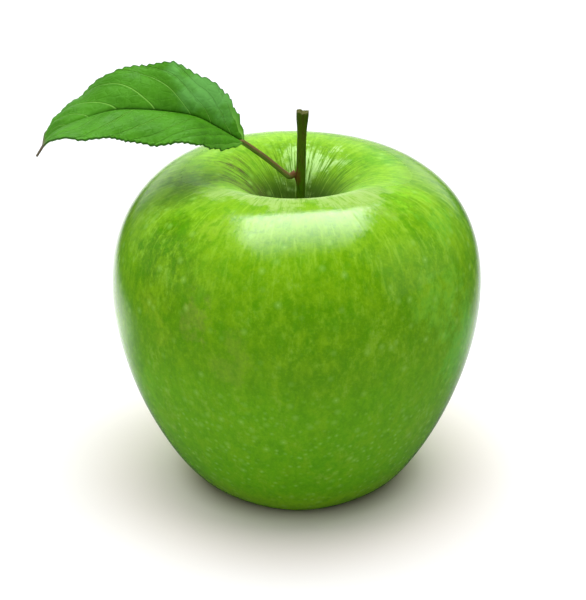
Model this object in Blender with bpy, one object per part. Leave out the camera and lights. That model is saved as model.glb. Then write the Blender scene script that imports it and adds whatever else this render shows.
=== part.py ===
"""A green apple with its stem, one leaf and the dried flower parts in its base.

Metres, +Z up. Every piece is carried by one empty, whose Z axis is the fruit's own axis and whose
height 0 is the surface the fruit stands on. The empty is set so that the world origin is the middle
of the whole object's footprint, on that surface.
"""
import math

import bmesh
import bpy
from mathutils import Vector

MM = 0.001

# Fruit: its half profile as (radius, height), where height is above the standing surface.
CAVITY_FLOOR = Vector((0.0, 50.5)) * MM
CAVITY_TURN = Vector((5.4, 56.9)) * MM
RIM = Vector((17.4, 67.0)) * MM
EQUATOR = Vector((38.1, 43.0)) * MM
FOOT_OUTSIDE = Vector((20.1, 0.0)) * MM
FOOT_INSIDE = Vector((18.1, 0.0)) * MM
BASIN = Vector((0.0, 8.2)) * MM
NO_HANDLE = Vector((0.0, 0.0))
# Each stretch is a curve: its start, the handle there, the handle at its end, its end, and its steps.
FRUIT_STRETCHES = (
    (CAVITY_FLOOR, Vector((4.0, 0.0)) * MM, Vector((-0.7, -2.5)) * MM, CAVITY_TURN, 4),
    (CAVITY_TURN, Vector((1.3, 5.0)) * MM, Vector((-4.0, 0.0)) * MM, RIM, 6),
    (RIM, Vector((14.5, 0.0)) * MM, Vector((0.0, 15.2)) * MM, EQUATOR, 8),
    (EQUATOR, Vector((0.0, -21.4)) * MM, Vector((3.2, 0.4)) * MM, FOOT_OUTSIDE, 9),
    (FOOT_OUTSIDE, NO_HANDLE, NO_HANDLE, FOOT_INSIDE, 1),
    (FOOT_INSIDE, Vector((-3.5, 0.0)) * MM, Vector((6.0, 0.0)) * MM, BASIN, 6),
)
FRUIT_SEGMENTS = 60
MERGE_DISTANCE = 0.01 * MM
# Five faint lobes, the first facing -Y. The fruit is a little longer from front to back than from
# side to side, its rim leans and is bent like a saddle, and its foot sits a little towards +X.
LOBES = 5
LOBE_DIRECTION = math.radians(-90)
SIDE_LOBE = 0.0096
FOOT_LOBE_DROP = 0.12 * MM
FLAT_SPOT_DEPTH = 0.08 * MM
FOOT_SHIFT = 0.33 * MM
OVAL = 0.009
OVAL_DIRECTION = math.radians(90)
RIM_LEAN = 0.7 * MM
RIM_LEAN_DIRECTION = math.radians(-99)
RIM_SADDLE = 0.57 * MM
RIM_SADDLE_DIRECTION = math.radians(-76)

# Stem: a rod that grows from the cavity floor and flares where it was picked. Like the leaf and the
# dried flower parts, it stops 0.3 mm short of what it grows from.
STEM_ROUTE = [Vector(point) * MM for point in (
    (0.6, 0.0, 51.1), (0.7, 0.1, 56.0), (0.8, 0.0, 61.0), (0.85, -0.1, 66.0), (1.0, 0.0, 73.0),
    (1.2, 0.0, 80.1))]
STEM_RADII = [radius * MM for radius in (1.2, 0.9, 0.88, 1.0, 0.92, 1.25)]
STEM_SIDES = 12
STEM_STATIONS = 13

# Leaf: stalk and blade are one piece. The route runs from the stem, along the midrib, to the tip.
LEAF_JOINT = Vector((-0.55, -0.1, 66.2)) * MM
STALK_ROUTE = [Vector(point) * MM for point in (
    (0.0, 0.0, 0.0), (-0.9, -0.2, -0.1), (-2.2, -0.2, 0.8), (-5.9, -0.1, 4.0), (-10.3, 0.1, 7.2))]
MIDRIB_ROUTE = [Vector(point) * MM for point in (
    (-10.3, 0.1, 7.2), (-16.1, 0.0, 10.8), (-20.3, -0.2, 12.9), (-27.3, -0.5, 14.2), (-35.3, -0.9, 14.5),
    (-41.0, -1.9, 13.3), (-45.6, -2.8, 11.7), (-48.9, -3.4, 9.1), (-51.4, -3.8, 5.6))]
STALK_STATIONS = 7
BLADE_STATIONS = 20
STALK_RADIUS = 0.56 * MM
BLADE_THICKNESS = 0.5 * MM
MIDRIB_DEPTH = 0.4 * MM
SECTION_POINTS_A_SIDE = 7
# Places along the blade, from 0 at its base to 1 at its tip, with the half width there in millimetres,
# and the tilt of the far and the near half about the midrib, in degrees above the level.
HALF_WIDTHS = ((0.0, 0.56), (0.04, 3.2), (0.12, 6.4), (0.25, 9.2), (0.38, 12.0), (0.56, 11.2), (0.74, 7.4),
               (0.86, 5.6), (0.92, 3.1), (0.95, 0.45), (1.0, 0.3))
FAR_TILTS = ((0.0, 44), (0.12, 46), (0.28, 40), (0.45, 30), (0.62, 23), (0.8, 18), (1.0, 5))
NEAR_TILTS = ((0.0, -26), (0.12, -27), (0.28, -14), (0.5, -12), (0.62, -12), (0.8, -20), (1.0, 15))

# Dried flower parts, in the basin: five sepals round a tuft of stamens, hanging from its floor.
SEPAL_COUNT = 5
SEPAL_TOP_HEIGHT = 6.7 * MM
SEPAL_ROUTE = [Vector(point) * MM for point in (
    (4.0, 0.0, 0.0), (3.4, 0.0, -1.5), (2.9, 0.0, -3.0), (3.4, 0.0, -4.2), (4.9, 0.0, -4.9))]
SEPAL_HALF_WIDTHS = [width * MM for width in (1.9, 1.7, 1.35, 0.9, 0.2)]
SEPAL_HALF_THICKNESSES = [width * MM for width in (0.35, 0.3, 0.25, 0.2, 0.12)]
SEPAL_SIDES = 8
SEPAL_STATIONS = 7
TUFT_TOP_HEIGHT = 7.5 * MM
TUFT_ROUTE = [Vector(point) * MM for point in (
    (0.0, 0.0, 0.0), (0.0, 0.1, -1.5), (0.1, 0.1, -2.9), (0.1, 0.2, -3.9))]
TUFT_RADII = [radius * MM for radius in (1.9, 1.5, 1.6, 0.9)]
TUFT_SIDES = 10
TUFT_STATIONS = 6

# Routes are squared against this direction, with the slope taken this share of their length each way.
SIDEWAYS = Vector((0.0, 1.0, 0.0))
ROUTE_STEP = 0.01

# Colour and roughness of each material.
MATERIALS = {
    "apple_skin": ((0.14, 0.33, 0.01, 1.0), 0.25),
    "stem_bark": ((0.07, 0.09, 0.01, 1.0), 0.6),
    "leaf_green": ((0.07, 0.25, 0.03, 1.0), 0.45),
    "dry_sepal": ((0.16, 0.11, 0.05, 1.0), 0.85),
    "dry_stamen": ((0.07, 0.045, 0.02, 1.0), 0.9),
}


def clear_scene():
    for scene_object in list(bpy.data.objects):
        bpy.data.objects.remove(scene_object, do_unlink=True)


def make_material(name):
    colour, roughness = MATERIALS[name]
    material = bpy.data.materials.new(name)
    material.use_nodes = True
    shader = material.node_tree.nodes["Principled BSDF"]
    shader.inputs["Base Color"].default_value = colour
    shader.inputs["Roughness"].default_value = roughness
    shader.inputs["Metallic"].default_value = 0.0
    material.diffuse_color = colour
    return material


def add_piece(name, mesh, material, carrier, location=(0.0, 0.0, 0.0), turn=0.0):
    """Put one piece of the apple in the scene, carried by the empty."""
    if not mesh.materials:
        mesh.materials.append(material)
    piece = bpy.data.objects.new(name, mesh)
    piece.parent = carrier
    piece.location = location
    piece.rotation_euler.z = turn
    bpy.context.collection.objects.link(piece)
    return piece


def finish_mesh(name, bm):
    """Turn a bmesh into a smooth-shaded mesh whose faces point out."""
    bmesh.ops.recalc_face_normals(bm, faces=bm.faces)
    mesh = bpy.data.meshes.new(name)
    bm.to_mesh(mesh)
    bm.free()
    mesh.shade_smooth()
    return mesh


def smooth_step(low, high, value):
    t = min(max((value - low) / (high - low), 0.0), 1.0)
    return t * t * (3.0 - 2.0 * t)


def between(table, place):
    """Value at a place in a table of (place, value) rows, eased from row to row."""
    for (low, low_value), (high, high_value) in zip(table, table[1:]):
        if place <= high:
            return low_value + (high_value - low_value) * smooth_step(low, high, place)
    return table[-1][1]


def curve_points(start, start_handle, end_handle, end, steps):
    """Points of a cubic curve after its start, up to and including its end."""
    points = []
    for step in range(1, steps + 1):
        t = step / steps
        points.append(start * (1 - t) ** 3 + (start + start_handle) * (3 * (1 - t) ** 2 * t)
                      + (end + end_handle) * (3 * (1 - t) * t ** 2) + end * t ** 3)
    return points


def spline_through(points, place):
    """Point at a place from 0 to 1 on a smooth curve through the route's points, spaced by length."""
    lengths = [0.0]
    for first, second in zip(points, points[1:]):
        lengths.append(lengths[-1] + (second - first).length)
    target = place * lengths[-1]
    index = max(i for i in range(len(points) - 1) if lengths[i] <= target)
    t = (target - lengths[index]) / (lengths[index + 1] - lengths[index])
    before = points[index - 1] if index > 0 else points[0] * 2 - points[1]
    after = points[index + 2] if index + 2 < len(points) else points[-1] * 2 - points[-2]
    start, end = points[index], points[index + 1]
    return 0.5 * (2 * start + (end - before) * t + (2 * before - 5 * start + 4 * end - after) * t ** 2
                  + (3 * start - before - 3 * end + after) * t ** 3)


def value_along(values, place):
    """Value at a place from 0 to 1 along an evenly spaced list."""
    spacing = 1.0 / (len(values) - 1)
    return between([(i * spacing, value) for i, value in enumerate(values)], place)


def frame_at(points, place):
    """Point on a route with its sideways direction and its upper direction, square to the route."""
    behind = spline_through(points, max(place - ROUTE_STEP, 0.0))
    ahead = spline_through(points, min(place + ROUTE_STEP, 1.0))
    along = (ahead - behind).normalized()
    across = (SIDEWAYS - along * SIDEWAYS.dot(along)).normalized()
    return spline_through(points, place), across, across.cross(along)


def loft(sections):
    """Closed body through a row of sections: the end face is drawn out from one to the next."""
    bm = bmesh.new()
    start = end = bm.faces.new([bm.verts.new(point) for point in sections[0]])
    for section in sections[1:]:
        grown = bmesh.ops.extrude_face_region(bm, geom=[end])["geom"]
        if end is not start:
            bm.faces.remove(end)
        end = next(item for item in grown if isinstance(item, bmesh.types.BMFace))
        for vert, point in zip(end.verts, section):
            vert.co = point
    return bm


def oval(centre, across, up, half_width, half_height, sides):
    """Section of a round or flattened piece."""
    turns = [math.tau * (i + 0.5) / sides for i in range(sides)]
    return [centre + across * half_width * math.cos(a) + up * half_height * math.sin(a) for a in turns]


def shape_lobes(bm):
    """Lobes and oval girth, a leaning saddle of a rim, and a flat spot under each foot lobe."""
    for vert in bm.verts:
        x, y, z = vert.co
        angle = math.atan2(y, x)
        radius = math.hypot(x, y)
        lobe = math.cos(LOBES * (angle - LOBE_DIRECTION))
        rim_share = smooth_step(EQUATOR.y, RIM.y, z) * smooth_step(CAVITY_TURN.x, RIM.x, radius)
        foot_share = smooth_step(EQUATOR.y / 2, 0.0, z) * smooth_step(0.0, FOOT_INSIDE.x, radius)
        lean = RIM_LEAN * math.cos(angle - RIM_LEAN_DIRECTION)
        saddle = RIM_SADDLE * math.cos(2 * (angle - RIM_SADDLE_DIRECTION))
        side_lobe = SIDE_LOBE * lobe * smooth_step(0.0, RIM.x, radius)
        spread = 1.0 + side_lobe + OVAL * math.cos(2 * (angle - OVAL_DIRECTION))
        shift = FOOT_SHIFT * smooth_step(EQUATOR.y / 2, 0.0, z)
        z += rim_share * (lean + saddle)
        z += foot_share * (FOOT_LOBE_DROP * (1 - lobe) / 2 - FLAT_SPOT_DEPTH)
        vert.co = (x * spread + shift, y * spread, max(z, 0.0))


def fruit_mesh():
    bm = bmesh.new()
    profile = [CAVITY_FLOOR]
    for stretch in FRUIT_STRETCHES:
        profile += curve_points(*stretch)
    chain = [bm.verts.new((radius, 0.0, height)) for radius, height in profile]
    edges = [bm.edges.new(pair) for pair in zip(chain, chain[1:])]
    bmesh.ops.spin(bm, geom=chain + edges, cent=(0, 0, 0), axis=(0, 0, 1), angle=math.tau,
                   steps=FRUIT_SEGMENTS, use_merge=True)
    bmesh.ops.remove_doubles(bm, verts=bm.verts, dist=MERGE_DISTANCE)
    shape_lobes(bm)
    return finish_mesh("fruit", bm)


def stem_mesh():
    sections = []
    for station in range(STEM_STATIONS):
        place = station / (STEM_STATIONS - 1)
        centre, across, up = frame_at(STEM_ROUTE, place)
        radius = value_along(STEM_RADII, place)
        sections.append(oval(centre, across, up, radius, radius, STEM_SIDES))
    return finish_mesh("stem", loft(sections))


def blade_section(place):
    """Section of the blade: two halves tilted about the midrib, thickened by a rib underneath."""
    centre, across, up = frame_at(MIDRIB_ROUTE, place)
    half_width = between(HALF_WIDTHS, place) * MM
    far_tilt = math.radians(between(FAR_TILTS, place))
    near_tilt = math.radians(between(NEAR_TILTS, place))
    far = across * math.cos(far_tilt) + up * math.sin(far_tilt)
    near = -across * math.cos(near_tilt) + up * math.sin(near_tilt)
    middle = (SECTION_POINTS_A_SIDE - 1) / 2
    upper, lower = [], []
    for i in range(SECTION_POINTS_A_SIDE):
        share = (middle - i) / middle
        spot = centre + (far if share > 0 else near) * abs(share) * half_width
        rib = MIDRIB_DEPTH * (1 - place) if share == 0 else 0.0
        upper.append(spot + up * BLADE_THICKNESS / 2)
        lower.append(spot - up * (BLADE_THICKNESS / 2 + rib))
    return upper + lower[::-1]


def leaf_mesh():
    sections = []
    for station in range(STALK_STATIONS):
        centre, across, up = frame_at(STALK_ROUTE, station / STALK_STATIONS)
        sections.append(oval(centre, across, up, STALK_RADIUS, STALK_RADIUS, 2 * SECTION_POINTS_A_SIDE))
    for station in range(BLADE_STATIONS):
        sections.append(blade_section(station / (BLADE_STATIONS - 1)))
    return finish_mesh("leaf", loft(sections))


def sepal_mesh():
    sections = []
    for station in range(SEPAL_STATIONS):
        place = station / (SEPAL_STATIONS - 1)
        centre, across, up = frame_at(SEPAL_ROUTE, place)
        half_width = value_along(SEPAL_HALF_WIDTHS, place)
        half_thickness = value_along(SEPAL_HALF_THICKNESSES, place)
        sections.append(oval(centre, across, up, half_width, half_thickness, SEPAL_SIDES))
    return finish_mesh("sepal", loft(sections))


def tuft_mesh():
    sections = []
    for station in range(TUFT_STATIONS):
        place = station / (TUFT_STATIONS - 1)
        centre, across, up = frame_at(TUFT_ROUTE, place)
        radius = value_along(TUFT_RADII, place)
        sections.append(oval(centre, across, up, radius, radius, TUFT_SIDES))
    return finish_mesh("stamen_tuft", loft(sections))


def footprint_middle(pieces):
    """Middle of the pieces' box in plan, at its lowest height."""
    bpy.context.view_layer.update()
    corners = [piece.matrix_world @ vert.co for piece in pieces for vert in piece.data.vertices]
    low = [min(corner[i] for corner in corners) for i in range(3)]
    high = [max(corner[i] for corner in corners) for i in range(3)]
    return Vector(((low[0] + high[0]) / 2, (low[1] + high[1]) / 2, low[2]))


clear_scene()
carrier = bpy.data.objects.new("apple", None)
bpy.context.collection.objects.link(carrier)

tuft_place = Vector((0.0, 0.0, TUFT_TOP_HEIGHT))
pieces = [
    add_piece("fruit", fruit_mesh(), make_material("apple_skin"), carrier),
    add_piece("stem", stem_mesh(), make_material("stem_bark"), carrier),
    add_piece("leaf", leaf_mesh(), make_material("leaf_green"), carrier, LEAF_JOINT),
    add_piece("stamen_tuft", tuft_mesh(), make_material("dry_stamen"), carrier, tuft_place),
]
one_sepal = sepal_mesh()
sepal_material = make_material("dry_sepal")
sepal_place = Vector((0.0, 0.0, SEPAL_TOP_HEIGHT))
for number in range(SEPAL_COUNT):
    turn = math.tau * number / SEPAL_COUNT
    pieces.append(add_piece(f"sepal_{number + 1}", one_sepal, sepal_material, carrier, sepal_place, turn))

carrier.location = -footprint_middle(pieces)
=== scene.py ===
import math

import bmesh
import bpy
from mathutils import Matrix, Vector, noise
from mathutils.geometry import interpolate_bezier


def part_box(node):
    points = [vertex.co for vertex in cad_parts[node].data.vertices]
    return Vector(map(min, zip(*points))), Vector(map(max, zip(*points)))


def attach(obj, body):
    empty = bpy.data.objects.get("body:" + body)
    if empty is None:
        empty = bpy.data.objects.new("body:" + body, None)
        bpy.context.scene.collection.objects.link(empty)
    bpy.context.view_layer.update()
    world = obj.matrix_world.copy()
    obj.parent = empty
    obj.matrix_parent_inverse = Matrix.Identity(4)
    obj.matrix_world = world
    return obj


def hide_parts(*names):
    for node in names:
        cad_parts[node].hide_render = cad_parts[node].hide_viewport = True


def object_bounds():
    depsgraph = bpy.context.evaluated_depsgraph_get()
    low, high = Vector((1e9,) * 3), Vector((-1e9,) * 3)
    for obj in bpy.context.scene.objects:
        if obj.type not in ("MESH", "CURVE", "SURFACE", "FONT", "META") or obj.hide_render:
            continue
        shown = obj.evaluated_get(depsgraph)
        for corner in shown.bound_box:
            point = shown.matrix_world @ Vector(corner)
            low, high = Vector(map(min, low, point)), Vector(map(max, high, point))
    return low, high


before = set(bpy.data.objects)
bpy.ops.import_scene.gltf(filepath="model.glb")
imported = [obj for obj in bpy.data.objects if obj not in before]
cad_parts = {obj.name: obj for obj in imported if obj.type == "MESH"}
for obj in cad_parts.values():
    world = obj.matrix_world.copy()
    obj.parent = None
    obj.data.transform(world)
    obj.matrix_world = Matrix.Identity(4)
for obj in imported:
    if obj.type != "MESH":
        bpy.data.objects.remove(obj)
cad_low, cad_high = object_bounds()
MM = 0.001


# ----------------------------------------------------------
# The fruit: one ripe green apple, grown in one piece round its own upright axis, with a deep cavity
# at the stem, a shallow basin underneath and five faint lobes. Its skin is thin, waxy and glossy,
# yellow-green on the shoulders, with pale pores, faint lengthwise streaks and a little russet.


def at(*place):
    """A place, or a shift, given in millimetres."""
    return Vector(place) * MM


fruit_low, fruit_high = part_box("fruit")
SIDE_LOBE = 0.0096
OVAL = 0.009
equator_radius = (fruit_high.y - fruit_low.y) / 2 / (1 + OVAL)
fruit_axis = Vector((
    (fruit_low.x + fruit_high.x) / 2,
    (fruit_low.y + fruit_high.y) / 2 + SIDE_LOBE * equator_radius,
    fruit_low.z))

# The half profile as (radius, height), from the cavity's floor over the rim and under to the basin.
# Each stretch is a curve: start, handle there, handle at its end, end, number of points.
CAVITY_FLOOR = at(0, 50.5)
CAVITY_TURN = at(5.4, 56.9)
RIM = at(17.4, 67)
EQUATOR = Vector((equator_radius, 43.0 * MM))
FOOT_OUTSIDE = at(20.1, 0)
FOOT_INSIDE = at(18.1, 0)
BASIN = at(0, 8.2)
NO_HANDLE = at(0, 0)
FRUIT_STRETCHES = (
    (CAVITY_FLOOR, at(4, 0), at(-0.7, -2.5), CAVITY_TURN, 13),
    (CAVITY_TURN, at(1.3, 5), at(-4, 0), RIM, 25),
    (RIM, at(14.5, 0), at(0, 15.2), EQUATOR, 31),
    (EQUATOR, at(0, -21.4), at(3.2, 0.4), FOOT_OUTSIDE, 37),
    (FOOT_OUTSIDE, NO_HANDLE, NO_HANDLE, FOOT_INSIDE, 3),
    (FOOT_INSIDE, at(-3.5, 0), at(6, 0), BASIN, 19),
)
FRUIT_SEGMENTS = 216
LOBES = 5
LOBE_DIRECTION = math.radians(-90)
OVAL_DIRECTION = math.radians(90)
RIM_LEAN = 0.7 * MM
RIM_LEAN_DIRECTION = math.radians(-99)
RIM_SADDLE = 0.57 * MM
RIM_SADDLE_DIRECTION = math.radians(-76)
FOOT_LOBE_DROP = 0.12 * MM
FLAT_SPOT_DEPTH = 0.08 * MM
FOOT_SHIFT = 0.33 * MM
DENT_SIZE = 17 * MM
DENT_DEPTH = 0.16 * MM
FURROWS_ROUND = 4.5
FURROW_LENGTH = 30 * MM
FURROW_DEPTH = 0.32 * MM


def ease(low, high, value):
    """Smooth rise from 0 at low to 1 at high."""
    t = min(max((value - low) / (high - low), 0.0), 1.0)
    return t * t * (3.0 - 2.0 * t)


def waver(x, y, z):
    """Smooth noise between about -1 and 1."""
    return noise.noise(Vector((x, y, z)))


def new_layer(bm, name):
    return bm.verts.layers.float_vector.new(name)


def turned_half_profile(bm):
    """Spin the half profile round the axis, noting how far along the skin each point lies."""
    profile = []
    for start, start_handle, end_handle, end, points in FRUIT_STRETCHES:
        curve = interpolate_bezier(start, start + start_handle, end + end_handle, end, points)
        profile += curve if not profile else curve[1:]
    skin_way = new_layer(bm, "skin_way")
    chain = []
    length = 0.0
    for index, (radius, height) in enumerate(profile):
        length += (profile[index] - profile[index - 1]).length if index else 0.0
        vert = bm.verts.new((radius, 0.0, height))
        vert[skin_way] = (0.0, 0.0, length)
        chain.append(vert)
    edges = [bm.edges.new(pair) for pair in zip(chain, chain[1:])]
    bmesh.ops.spin(bm, geom=chain + edges, cent=(0, 0, 0), axis=(0, 0, 1), angle=math.tau,
                   steps=FRUIT_SEGMENTS, use_merge=True)
    bmesh.ops.remove_doubles(bm, verts=bm.verts, dist=0.01 * MM)
    return skin_way


def shape_fruit(bm, skin_way):
    """Lobes, a leaning rim and a slightly oval girth, then shallow dents all over and furrows that
    run down into the stem cavity."""
    for vert in bm.verts:
        x, y, z = vert.co
        angle = math.atan2(y, x)
        radius = math.hypot(x, y)
        lobe = math.cos(LOBES * (angle - LOBE_DIRECTION))
        rim_share = ease(EQUATOR.y, RIM.y, z) * ease(CAVITY_TURN.x, RIM.x, radius)
        foot_share = ease(EQUATOR.y / 2, 0.0, z) * ease(0.0, FOOT_INSIDE.x, radius)
        lean = RIM_LEAN * math.cos(angle - RIM_LEAN_DIRECTION)
        saddle = RIM_SADDLE * math.cos(2 * (angle - RIM_SADDLE_DIRECTION))
        side_lobe = SIDE_LOBE * lobe * ease(0.0, RIM.x, radius)
        spread = 1.0 + side_lobe + OVAL * math.cos(2 * (angle - OVAL_DIRECTION))
        shift = FOOT_SHIFT * ease(EQUATOR.y / 2, 0.0, z)
        z += rim_share * (lean + saddle)
        z += foot_share * (FOOT_LOBE_DROP * (1 - lobe) / 2 - FLAT_SPOT_DEPTH)
        vert.co = (x * spread + shift, y * spread, max(z, 0.0))
        vert[skin_way] = (math.cos(angle), math.sin(angle), vert[skin_way].z)
    bm.normal_update()
    moves = []
    for vert in bm.verts:
        way = vert[skin_way]
        radius = math.hypot(vert.co.x, vert.co.y)
        standing = ease(0.0, 6 * MM, vert.co.z)
        high_up = ease(44 * MM, 50 * MM, vert.co.z)
        in_cavity = high_up * ease(RIM.x, CAVITY_TURN.x, radius)
        in_cavity *= ease(0.0, 2 * MM, radius)
        dent = noise.noise(vert.co / DENT_SIZE) * DENT_DEPTH
        dent *= standing * ease(0.0, 8 * MM, radius)
        furrow = waver(way.x * FURROWS_ROUND, way.y * FURROWS_ROUND, way.z / FURROW_LENGTH)
        moves.append(vert.normal * (dent + furrow * FURROW_DEPTH * in_cavity))
    for vert, move in zip(bm.verts, moves):
        vert.co += move


def mesh_from(bm, name, place):
    """Finish a bmesh as a smooth-shaded mesh, moved to its place."""
    bmesh.ops.translate(bm, verts=bm.verts, vec=place)
    mesh = bpy.data.meshes.new(name)
    bm.to_mesh(mesh)
    bm.free()
    mesh.shade_smooth()
    return mesh


def show(name, data):
    """Put a mesh, a lamp or a camera in the scene."""
    shown = bpy.data.objects.new(name, data)
    bpy.context.scene.collection.objects.link(shown)
    return shown


def add_piece(name, bm, material, node):
    """Show a piece, shaped round the fruit's axis, in place of its CAD node."""
    piece = show(name, mesh_from(bm, name, fruit_axis))
    piece.data.materials.append(material)
    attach(piece, "root")
    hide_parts(node)


class Finish:
    """A material, with short ways to add the nodes that draw its pattern."""

    def __init__(self, name):
        self.material = bpy.data.materials.new(name)
        self.material.use_nodes = True
        self.tree = self.material.node_tree
        self.shader = self.tree.nodes["Principled BSDF"]

    def add(self, kind, inputs, **settings):
        """A node with its settings, and its inputs linked or set."""
        made = self.tree.nodes.new("ShaderNode" + kind)
        for name, value in settings.items():
            setattr(made, name, value)
        for key, value in inputs.items():
            self.feed(made.inputs[key], value)
        return made

    def feed(self, socket, value):
        """Link a socket, or set it. Colours are red, green and blue."""
        if isinstance(value, bpy.types.NodeSocket):
            self.tree.links.new(value, socket)
        else:
            socket.default_value = (*value, 1) if socket.type == "RGBA" else value

    def on_piece(self, place=at(0, 0, 0), stretch=(1.0, 1.0, 1.0)):
        """Where a point lies from a place on the fruit, stretched."""
        shift = [-c * s for c, s in zip(fruit_axis + place, stretch)]
        own = self.add("TexCoord", {}).outputs["Object"]
        inputs = {"Vector": own, "Location": shift, "Scale": stretch}
        return self.add("Mapping", inputs).outputs[0]

    def attribute(self, name, stretch=(1.0, 1.0, 1.0)):
        """The piece's own attribute, stretched."""
        own = self.add("Attribute", {}, attribute_name=name).outputs["Vector"]
        return self.add("Mapping", {"Vector": own, "Scale": stretch}).outputs[0]

    def parts(self, vector):
        return self.add("SeparateXYZ", {0: vector}).outputs

    def distance(self, where):
        """How far a place is from its own centre."""
        return self.add("VectorMath", {0: where}, operation="LENGTH").outputs["Value"]

    def clouds(self, where, size, detail=2.0, roughness=0.5, twist=0.0):
        """Soft noise whose patches are about this size."""
        return self.add("TexNoise", {"Vector": where, "Scale": 1 / size, "Detail": detail,
                                     "Roughness": roughness, "Distortion": twist}).outputs[0]

    def cells(self, where, size, feature="F1"):
        """Distance from the middle, or the edge, of scattered cells of about this size."""
        inputs = {"Vector": where, "Scale": 1 / size}
        return self.add("TexVoronoi", inputs, feature=feature).outputs["Distance"]

    def sums(self, operation, first, second=0.0):
        return self.add("Math", {0: first, 1: second}, operation=operation).outputs[0]

    def both(self, first, second):
        return self.sums("MULTIPLY", first, second)

    def plus(self, first, second):
        return self.sums("ADD", first, second)

    def minus(self, first, second):
        return self.sums("SUBTRACT", first, second)

    def larger(self, first, second):
        return self.sums("MAXIMUM", first, second)

    def fade(self, value, start, end, low=0.0, high=1.0):
        """Smooth rise from low at start to high at end, held flat outside them."""
        inputs = {"Value": value, "From Min": start, "From Max": end, "To Min": low, "To Max": high}
        return self.add("MapRange", inputs, interpolation_type="SMOOTHSTEP").outputs[0]

    def mix(self, share, first, second):
        return self.add("Mix", {0: share, 6: first, 7: second}, data_type="RGBA").outputs[2]

    def grey(self, level):
        return self.add("CombineColor", {0: level, 1: level, 2: level}).outputs[0]

    def paint(self, share, colour):
        """Lay a colour over this share of what is painted so far."""
        self.colour = self.mix(share, self.colour, colour)

    def stain(self, value, start, end, strength, colour, within=None):
        """Lay a colour over where a value passes from start to end, up to this strength."""
        share = self.fade(value, start, end, 0.0, strength)
        self.paint(share if within is None else self.both(share, within), colour)

    def bump(self, height, depth, below=None):
        """Relief of this depth, in metres, on top of any relief below it."""
        inputs = {"Height": height, "Distance": depth, "Strength": 1.0}
        if below is not None:
            inputs["Normal"] = below
        return self.add("Bump", inputs).outputs[0]

    def finished(self, roughness, relief, specular=0.5):
        """The material, with its colour, roughness, relief and gloss on the shader."""
        self.shader.inputs["Specular IOR Level"].default_value = specular
        joined = (("Base Color", self.colour), ("Roughness", roughness), ("Normal", relief))
        for name, value in joined:
            self.feed(self.shader.inputs[name], value)
        return self.material


# Sizes of the skin's clouds, strokes and pores.
WANDER_SIZE = 7 * MM
WANDER_REACH = 3.5 * MM
MILKY_SIZE = 5.5 * MM
PATCH_SIZE = 2.7 * MM
MOTTLE_SIZE = 1.2 * MM
GRAIN_SIZE = 0.42 * MM
RELIEF_SIZE = 2.6 * MM
STROKE_LENGTH = 150 * MM
STROKES_ROUND = 30
THREAD_LENGTH = 240 * MM
THREADS_ROUND = 32
WIDE_PORE_SIZE = 3.6 * MM
FINE_PORE_SIZE = 1.75 * MM
# Where the painted highlight on the cavity's back wall lies.
PAINTED_HIGHLIGHT_PLACE = at(2.5, 12, 65)
RUSSET_PLACE = at(-12.5, 0.5, 65)

# Colours of the skin, from its ground to the marks on it.
SIDE_GREEN = (0.17, 0.51, 0.001)
MIDDLE_GREEN = (0.152, 0.412, 0.001)
LOW_GREEN = (0.158, 0.525, 0.001)
FOOT_GREEN = (0.29, 0.64, 0.006)
UPPER_GREEN = (0.20, 0.47, 0.002)
SHOULDER_GREEN = (0.24, 0.54, 0.012)
PALE_GREEN = (0.26, 0.56, 0.008)
MILKY_GREEN = (0.30, 0.58, 0.09)
DEEP_GREEN = (0.108, 0.345, 0.0005)
PALE_MOTTLE = (0.31, 0.64, 0.01)
DEEP_MOTTLE = (0.105, 0.35, 0.0005)
WARM_PATCH = (0.28, 0.57, 0.005)
COOL_PATCH = (0.09, 0.37, 0.001)
PALE_GRAIN = (0.30, 0.64, 0.012)
DEEP_GRAIN = (0.09, 0.32, 0.0005)
PALE_STROKE = (0.39, 0.73, 0.05)
DEEP_STROKE = (0.12, 0.40, 0.001)
# Painted shade, deep down in the stem cavity.
PAINTED_CAVITY_SHADE = (0.032, 0.08, 0.0005)
FURROW_GREEN = (0.06, 0.17, 0.001)
PALE_THREAD = (0.40, 0.64, 0.10)
# Partly the skin's own cream, partly a painted sheen, on the front of the rim.
LIP_CREAM_AND_SHEEN = (0.45, 0.70, 0.17)
# A painted highlight, on the back wall of the cavity.
PAINTED_HIGHLIGHT_WHITE = (0.48, 0.78, 0.24)
RUSSET_BROWN = (0.085, 0.06, 0.02)
BASIN_THREAD = (0.40, 0.66, 0.12)
CALYX_BROWN = (0.12, 0.13, 0.035)
PORE_CREAM = (0.38, 0.74, 0.11)
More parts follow.
